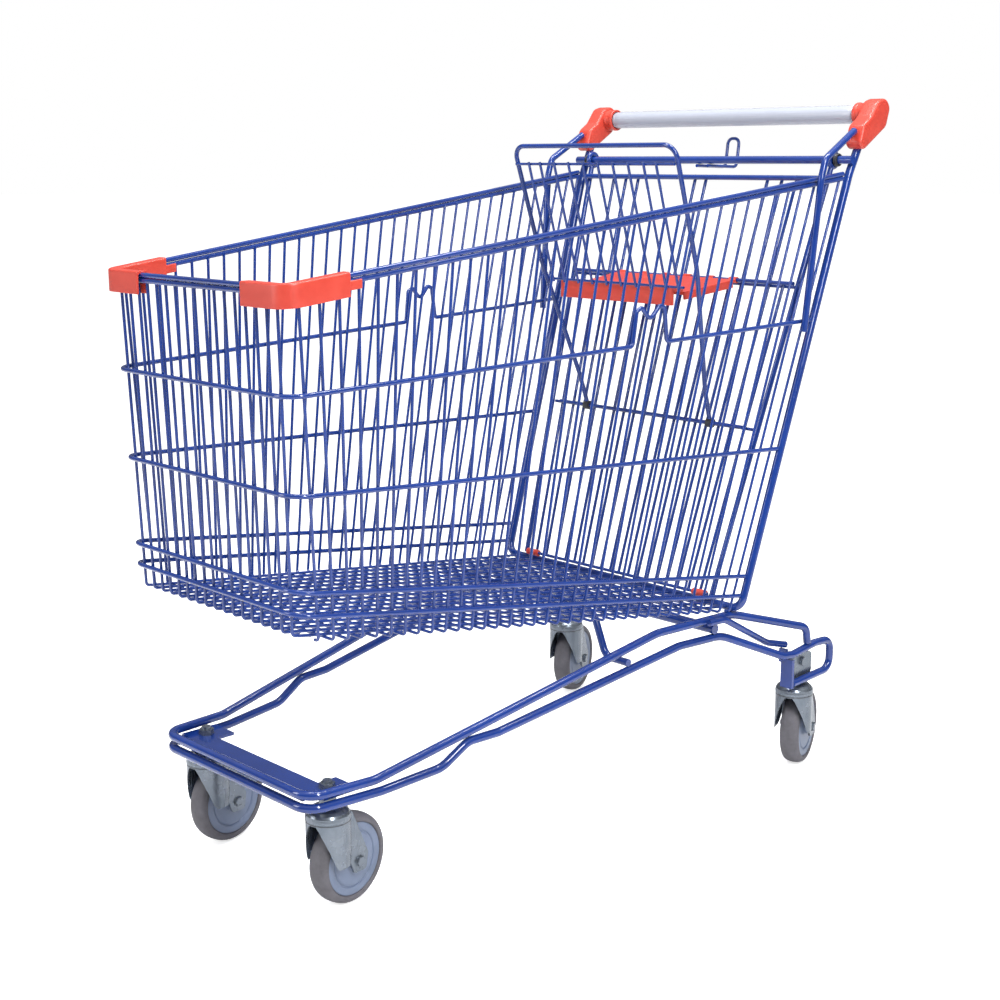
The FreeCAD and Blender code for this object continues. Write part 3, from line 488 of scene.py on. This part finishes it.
def front_bead_places():
    """Beads of the front wall: wires on the hoops and on the rim rod."""
    places = []
    for index in range(FRONT_WIRES):
        share = 2.0 * index / (FRONT_WIRES - 1.0) - 1.0
        for front_height, _ in HOOPS:
            z = front_height * MM
            down = (RIM_FRONT_Z - z) / (RIM_FRONT_Z - FLOOR_FRONT_Z)
            x = share * mix(FRONT_TOP_HALF, FRONT_BOTTOM_HALF, down)
            places.append(Vector((x, front_y(z) - WIRE / 2.0, z)))
        x = share * FRONT_TOP_HALF
        places.append(Vector((x, RIM_FRONT_Y + 0.6 * MM, RIM_FRONT_Z - RIM * 0.92)))
    return places


def floor_bead_places():
    """Beads where the long and the cross floor wires touch."""
    places = []
    for cross in range(SIDE_WIRES):
        y = side_wire_line(cross)[1][0]
        share = (y - FLOOR_FRONT_Y) / (FLOOR_REAR_Y - FLOOR_FRONT_Y)
        half = mix(FRONT_BOTTOM_HALF, FLOOR_REAR_HALF, share)
        for index in range(FRONT_WIRES):
            x = half * (2.0 * index / (FRONT_WIRES - 1.0) - 1.0)
            places.append(Vector((x, y, floor_z(y) - WIRE / 2.0)))
    return places


# half sizes of a bead in millimetres
SIDE_BEAD, FRONT_BEAD, FLOOR_BEAD = (1.2, 1.8, 1.8), (1.8, 1.2, 1.8), (1.6, 1.6, 1.0)


def add_basket_beads():
    """Small resistance-weld beads wherever two basket wires touch."""
    beads = []
    for place in side_bead_places():
        for side in (-1.0, 1.0):
            beads.append((Vector((place.x * side, place.y, place.z)), SIDE_BEAD))
    beads += [(place, FRONT_BEAD) for place in front_bead_places()]
    beads += [(place, FLOOR_BEAD) for place in floor_bead_places()]
    points, faces = unit_bead()
    vertices = []
    polygons = []
    for place, size in beads:
        first = len(vertices)
        vertices += [place + Vector(point) * Vector(size) * MM for point in points]
        polygons += [tuple(first + index for index in face) for face in faces]
    mesh = bpy.data.meshes.new("beads")
    mesh.from_pydata(vertices, [], polygons)
    bm = bmesh.new()
    bm.from_mesh(mesh)
    bpy.data.meshes.remove(mesh)
    new_piece("basket_weld_beads", bm, "blue_powder_coat", FRAME_BODY)


# ---------------------------------------------------------------- castors


def castor_matrix(name):
    x, y, yaw = CASTORS[name]
    place = Matrix.Translation((x * MM, y * MM, 0.0))
    return place @ Matrix.Rotation(math.radians(yaw), 4, "Z")


def axle_matrix(name):
    return castor_matrix(name) @ Matrix.Translation((0.0, TRAIL, WHEEL_RADIUS))


def mirrored_profile(half):
    """A lathe profile made whole from its positive side."""
    return [(-along, radius) for along, radius in half] + list(reversed(half))


# (along, radius) in millimetres of one half of the wheel, from the bore and from the rim outwards
HUB_HALF = (
    (18.4, 5.06), (18.4, 10.2), (17.6, 10.9), (13.4, 12.4), (12.8, 13.6), (12.3, 33.4), (11.9, 34.6),
    (10.9, 35.2), (10.9, 36.6), (12.2, 37.2), (12.7, 38.4), (12.8, 46.4), (12.2, 47.4),
)
TYRE_HALF = (
    (12.4, 47.5), (13.4, 47.8), (14.5, 48.8), (14.9, 50.2), (14.7, 52.0), (13.9, 54.0), (12.4, 55.8),
    (10.2, 57.3), (7.2, 58.3), (3.8, 58.8), (0.35, 59.0),
)
WHEEL_SEGMENTS = 96


def add_wheel(name):
    """Moulded wheel centre with a stepped face, and a tyre with a round tread."""
    parts = (
        ("wheel_centre_", HUB_HALF, 0.5, "hub_plastic", "wheel_hub_"),
        ("tyre_tread_", TYRE_HALF, 0.8, "tyre_rubber", "tyre_"),
    )
    for title, half, rounding, slot, node in parts:
        bm = bmesh.new()
        profile = turned(mirrored_profile(half), rounding)
        add_lathe(bm, profile, axle_matrix(name), WHEEL_SEGMENTS, closed=True)
        new_piece(title + name, bm, slot, "castor_wheel_" + name, [node + name])


# (height, radius) in millimetres
DOME_PROFILE = (
    (139.2, 9.0), (139.3, 13.0), (138.4, 18.0), (136.4, 22.6), (133.2, 26.2), (129.6, 28.4),
    (126.0, 29.0), (123.4, 28.9), (122.4, 28.2), (122.4, 25.0), (134.0, 9.0),
)
SEAL_PROFILE = ((120.8, 26.0), (120.8, 28.7), (122.2, 28.7), (122.2, 26.0))


def add_fork(name):
    """Castor fork with the pressed edges rounded, a domed bearing cover and a dark seal under it."""
    upright = castor_matrix(name) @ along_axis((0.0, 0.0, 0.0), (0.0, 0.0, 1.0))
    softened("fork_" + name, 0.5 * MM)
    covers = (("dome", DOME_PROFILE, "zinc_plate"), ("seal", SEAL_PROFILE, "dark_plastic"))
    for word, profile, slot in covers:
        bm = bmesh.new()
        add_lathe(bm, turned(profile, 0.5), upright, closed=True)
        new_piece("fork_%s_%s" % (word, name), bm, slot, "castor_fork_" + name)


# shank of the axle bolt with the washer under its head, and the washer under its nut
BOLT_PROFILE = (
    (-29.0, 0.0), (-29.0, 3.4), (-28.2, 4.3), (-24.0, 4.9),
    (22.0, 4.9), (22.0, 7.6), (22.9, 7.6), (22.9, 0.0),
)
NUT_WASHER = ((-22.0, 4.8), (-22.0, 7.6), (-22.9, 7.6), (-22.9, 4.8))
WASHER_FACE, HEAD_END, NUT_END = 22.9 * MM, 25.9 * MM, 27.9 * MM
ACROSS_FLATS, HEAD_CHAMFER = 12.4 * MM, 0.9 * MM
BOLT_SEGMENTS = 40


def add_hexagon(bm, place, start, end):
    """Hexagon head or nut along the local X axis, with a chamfered outer end."""
    radius = ACROSS_FLATS / math.sqrt(3.0)
    way = 1.0 if end > start else -1.0
    levels = ((start, radius), (end - way * HEAD_CHAMFER, radius), (end, radius * 0.84))
    rings = [add_ring(bm, place, along, reach, 6) for along, reach in levels]
    join_rings(bm, rings)
    bm.faces.new(rings[0][::-1])
    bm.faces.new(rings[-1])


def add_axle_bolt(name):
    """Axle bolt with a hexagon head, a lock nut and a washer under each."""
    place = axle_matrix(name)
    bm = bmesh.new()
    add_lathe(bm, turned(BOLT_PROFILE, 0.3), place, BOLT_SEGMENTS)
    add_lathe(bm, turned(NUT_WASHER, 0.2), place, BOLT_SEGMENTS, closed=True)
    add_hexagon(bm, place, WASHER_FACE, HEAD_END)
    add_hexagon(bm, place, -WASHER_FACE, -NUT_END)
    body, replaced = "castor_fork_" + name, ["axle_bolt_" + name]
    bolt = new_piece("axle_hardware_" + name, bm, "zinc_plate", body, replaced, 30.0)
    soften_edges(bolt, 0.35 * MM, 28.0)


def add_castors():
    for name in CASTORS:
        add_wheel(name)
        add_fork(name)
        add_axle_bolt(name)


# ---------------------------------------------------------------- handle


# rolled end of the sleeve: (inward along the axis, below the outer radius) in millimetres
SLEEVE_END = ((0.0, 2.4), (0.8, 0.8), (2.6, 0.0))
SLEEVE_STEPS = 24


def add_handle_sleeve():
    """Sleeve with softly rolled ends."""
    low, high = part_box("handle_sleeve")
    centre = (low + high) / 2.0
    half = (high.x - low.x) / 2.0
    radius = (high.z - low.z) / 2.0
    rolled_end = [(-half + along * MM, radius - drop * MM) for along, drop in SLEEVE_END]
    profile = list(rolled_end)
    for step in range(1, SLEEVE_STEPS):
        profile.append((mix(-half, half, step / SLEEVE_STEPS), radius))
    profile += [(-along, reach) for along, reach in reversed(rolled_end)]
    bm = bmesh.new()
    add_lathe(bm, profile, Matrix.Translation(centre), 64)
    new_piece("handle_grip", bm, "lavender_plastic", FRAME_BODY, ["handle_sleeve"])


# ---------------------------------------------------------------- red mouldings


def add_sweep(bm, outline, line):
    """Push a closed (out, up) outline along a line that turns only in plan, and close its ends."""
    rings = []
    for index, point in enumerate(line):
        before = line[max(index - 1, 0)]
        after = line[min(index + 1, len(line) - 1)]
        way = Vector((after.x - before.x, after.y - before.y, 0.0)).normalized()
        out = Vector((way.y, -way.x, 0.0))
        places = [point + out * across + Vector((0.0, 0.0, up)) for across, up in outline]
        rings.append([bm.verts.new(place) for place in places])
    join_rings(bm, rings)
    bm.faces.new(rings[0])
    bm.faces.new(rings[-1][::-1])


BUMPER_REACH_X, BUMPER_REACH_Y = 76.0 * MM, 81.0 * MM
BUMPER_BASE = 762.0 * MM
BUMPER_BEND = 20.0 * MM
# cross sections as (outward, upward) in millimetres
BUMPER_WALL = (
    (8.4, 0.0), (8.4, 28.4), (-8.4, 28.4), (-8.4, 0.0),
    (-5.6, 0.0), (-5.6, 25.4), (5.6, 25.4), (5.6, 0.0),
)
TAB_WALL = ((5.6, 6.5), (5.6, 17.5), (-5.6, 17.5), (-5.6, 6.5))
TAB_OVERLAP, TAB_REACH = 6.0 * MM, 18.0 * MM


def bumper_line(side):
    """Centre line of a corner bumper, from its front end round the corner to its rear end."""
    outer = side_x(RIM_FRONT_Y, RIM_FRONT_Z) + RIM_OUTSET
    front = RIM_FRONT_Y - RIM_OUTSET
    rear_end = (outer + SIDE_PER_Y * BUMPER_REACH_Y, front + BUMPER_REACH_Y)
    plan = [(outer - BUMPER_REACH_X, front), (outer, front), rear_end]
    corners = [Vector((x * side, y, BUMPER_BASE + RIM_SLOPE * (y - front))) for x, y in plan]
    line = rounded(corners, BUMPER_BEND, 12)
    return line if side > 0 else line[::-1]


def bumper_tab_line(side):
    """Short straight line of the tab that runs on behind a bumper, under the rim rods."""
    line = bumper_line(side)
    end, before = (line[-1], line[-2]) if side > 0 else (line[0], line[1])
    way = (end - before).normalized()
    tab = [end - way * TAB_OVERLAP, end + way * TAB_REACH]
    return tab if side > 0 else tab[::-1]


def rounded_outline(points_mm, radius_mm, steps):
    """A closed outline in millimetres with rounded corners, as metre pairs."""
    corners = [Vector((x * MM, y * MM, 0.0)) for x, y in points_mm]
    start = (corners[0] + corners[-1]) / 2.0
    line = rounded([start] + corners + [start], radius_mm * MM, steps)
    return [(point.x, point.y) for point in line[:-1]]


def add_corner_bumper(name, side):
    """Hollow moulding over both rim rods at a front corner, with a tab behind it."""
    bm = bmesh.new()
    add_sweep(bm, rounded_outline(BUMPER_WALL, 3.2, 6), bumper_line(side))
    add_sweep(bm, rounded_outline(TAB_WALL, 1.5, 4), bumper_tab_line(side))
    piece = new_piece(name + "_moulding", bm, "red_plastic", FRAME_BODY, [name])
    soften_edges(piece, 0.8 * MM, 50.0)


# (y, z) of the bracket seen from the side, in millimetres, and its inner and outer face
BRACKET_OUTLINE = (
    (448.0, 938.0), (437.0, 947.0), (445.0, 974.0), (463.0, 986.0),
    (480.0, 1009.0), (499.0, 1014.0), (512.0, 1001.0), (503.0, 972.0),
)
BRACKET_INNER, BRACKET_OUTER = 256.0, 284.0
BRACKET_CORNER, BRACKET_ROUNDING, BRACKET_STEPS = 15.0, 4.5, 6
# (along, radius) of the collar round the end of the sleeve, in millimetres
COLLAR_PROFILE = (
    (239.0, 13.8), (239.0, 16.2), (240.4, 17.2), (244.0, 17.2),
    (246.0, 16.2), (250.0, 16.4), (259.0, 17.6), (259.0, 10.0),
)


def inset(outline, depth):
    """Move every point of a closed outline inwards by a depth, along the local normal."""
    count = len(outline)
    corners = [Vector(corner) for corner in outline]
    area = sum(corners[index - 1].cross(corners[index]) for index in range(count))
    turn = 1.0 if area > 0 else -1.0
    moved = []
    for index in range(count):
        way = (corners[(index + 1) % count] - corners[index - 1]).normalized()
        moved.append(corners[index] + Vector((-way.y, way.x)) * depth * turn)
    return moved


def bracket_levels():
    """Sections through a bracket from its inner to its outer face: (x, inset) in millimetres."""
    levels = []
    for step in range(BRACKET_STEPS + 1):
        angle = math.radians(90.0 * step / BRACKET_STEPS)
        x = BRACKET_INNER + BRACKET_ROUNDING * (1.0 - math.sin(angle))
        depth = BRACKET_ROUNDING * (1.0 - math.cos(angle))
        levels.append((x, depth))
        levels.append((BRACKET_INNER + BRACKET_OUTER - x, depth))
    return sorted(levels)


def add_handle_bracket(name, side):
    """Moulded end piece of the handle: a thick plate with round edges and a collar."""
    outline = rounded_outline(BRACKET_OUTLINE, BRACKET_CORNER, 8)
    bm = bmesh.new()
    rings = []
    for x, depth in bracket_levels():
        rings.append([bm.verts.new((side * x * MM, y, z)) for y, z in inset(outline, depth * MM)])
    join_rings(bm, rings)
    bm.faces.new(rings[0])
    bm.faces.new(rings[-1][::-1])
    add_lathe(bm, turned(COLLAR_PROFILE, 1.2), side_matrix("handle_sleeve", side), 48)
    new_piece(name + "_moulding", bm, "red_plastic", FRAME_BODY, [name], 44.0)


def add_red_mouldings():
    for side, word in SIDES:
        add_corner_bumper("corner_bumper_" + word, side)
        add_handle_bracket("handle_bracket_" + word, side)
    softened("child_seat_plate", 1.4 * MM, front_taper=0.925)
    softened("child_seat_front_rail", 1.6 * MM)
    softened("gate_bumpers", 1.5 * MM)


# (along, radius) in millimetres of the dark ring beside each gate eye: painted shade where the eye's
# curl shades the crossbar
EYE_SHADE_PROFILE = (
    (245.0, 6.3), (245.0, 8.6), (246.6, 9.6), (248.0, 8.4),
    (249.4, 9.6), (251.0, 8.6), (251.0, 6.3),
)


def add_gate_eye_painted_shade():
    """Dark ribbed ring on the crossbar beside each eye of the gate: painted shade, a dark piece where
    the curl of the eye only casts shade.
    """
    for side, word in SIDES:
        place = side_matrix("rear_crossbar", side)
        bm = bmesh.new()
        add_lathe(bm, turned(EYE_SHADE_PROFILE, 0.4), place, 48, closed=True)
        new_piece("gate_eye_painted_shade_" + word, bm, "dark_plastic", FRAME_BODY)


# ---------------------------------------------------------------- build the pieces

add_basket_beads()
add_castors()
add_handle_sleeve()
add_red_mouldings()
# the dark rings by the gate eyes are painted shade
add_gate_eye_painted_shade()

# ---------------------------------------------------------------- camera, light and floor

CAMERA_AZIMUTH, CAMERA_ELEVATION = math.radians(46.299), math.radians(11.916)
CAMERA_DISTANCE, CAMERA_LENS, SENSOR_WIDTH = 2.3152, 57.79, 36.0
CAMERA_TARGET = Vector((0.0, -0.010, 0.4448))
HORIZON, BAND, ZENITH = (0.10, 0.105, 0.12), (0.22, 0.225, 0.24), (1.0, 1.0, 1.0)
FLOOR_HALF, FLOOR_GLOW = 40.0, 0.65


def add_camera():
    flat = math.cos(CAMERA_ELEVATION)
    across, along = math.sin(CAMERA_AZIMUTH) * flat, -math.cos(CAMERA_AZIMUTH) * flat
    back = Vector((across, along, math.sin(CAMERA_ELEVATION)))
    camera = bpy.data.objects.new("camera", bpy.data.cameras.new("camera"))
    camera.data.lens = CAMERA_LENS
    camera.data.sensor_width = SENSOR_WIDTH
    camera.location = CAMERA_TARGET + back * CAMERA_DISTANCE
    camera.rotation_euler = (-back).to_track_quat("-Z", "Y").to_euler()
    bpy.context.scene.collection.objects.link(camera)
    bpy.context.scene.camera = camera


def add_softbox(name, position, aim, width, height, power):
    """Rectangular area light turned towards a point."""
    light = bpy.data.lights.new(name, "AREA")
    light.shape = "RECTANGLE"
    light.size, light.size_y = width, height
    light.energy = power
    lamp = bpy.data.objects.new(name, light)
    lamp.location = position
    lamp.rotation_euler = (Vector(aim) - Vector(position)).to_track_quat("-Z", "Y").to_euler()
    bpy.context.scene.collection.objects.link(lamp)


def add_world():
    """White for the camera; for light and reflections brighter above than at the horizon."""
    world = bpy.data.worlds.new("studio")
    bpy.context.scene.world = world
    world.use_nodes = True
    tree = world.node_tree
    coordinates = tree.nodes.new("ShaderNodeTexCoord")
    split = tree.nodes.new("ShaderNodeSeparateXYZ")
    tree.links.new(coordinates.outputs["Generated"], split.inputs["Vector"])
    sky = colour_ramp(tree, split.outputs["Z"], ((0.0, HORIZON), (0.4, BAND), (0.9, ZENITH)))
    path = tree.nodes.new("ShaderNodeLightPath")
    choice = tree.nodes.new("ShaderNodeMix")
    choice.data_type = "RGBA"
    tree.links.new(path.outputs["Is Camera Ray"], choice.inputs["Factor"])
    tree.links.new(sky, choice.inputs["A"])
    choice.inputs["B"].default_value = (1.0, 1.0, 1.0, 1.0)
    background = tree.nodes["Background"]
    tree.links.new(choice.outputs["Result"], background.inputs["Color"])


def add_floor():
    """Pale floor that glows for the camera alone, so that it runs into the white behind it."""
    mesh = bpy.data.meshes.new("floor")
    signs = ((-1, -1), (1, -1), (1, 1), (-1, 1))
    corners = [(x * FLOOR_HALF, y * FLOOR_HALF, 0.0) for x, y in signs]
    mesh.from_pydata(corners, [], [(0, 1, 2, 3)])
    floor = bpy.data.objects.new("floor", mesh)
    bpy.context.scene.collection.objects.link(floor)
    material, tree, shader = start_material("studio_floor", (0.93, 0.93, 0.93), 0.7)
    cloud = noise(tree, object_place(tree), 3.0, 4.0)
    pale = ((0.2, (0.91, 0.91, 0.915)), (0.8, (0.95, 0.95, 0.95)))
    tree.links.new(colour_ramp(tree, cloud, pale), shader.inputs["Base Color"])
    shader.inputs["Emission Color"].default_value = (1.0, 1.0, 1.0, 1.0)
    path = tree.nodes.new("ShaderNodeLightPath")
    glow = value_range(tree, path.outputs["Is Camera Ray"], 0.0, FLOOR_GLOW, 0.0, 1.0)
    tree.links.new(glow, shader.inputs["Emission Strength"])
    mesh.materials.append(material)


bpy.context.scene.view_settings.view_transform = "Standard"
add_camera()
add_world()
add_floor()
add_softbox("key", (2.3, -0.9, 2.2), (0.0, 0.0, 0.45), 0.3, 2.0, 84.0)
add_softbox("front_fill", (-1.4, -2.8, 1.5), (0.0, 0.0, 0.5), 1.0, 1.6, 34.0)
add_softbox("top", (0.1, 0.1, 3.0), (0.0, 0.0, 0.5), 0.22, 2.4, 72.0)
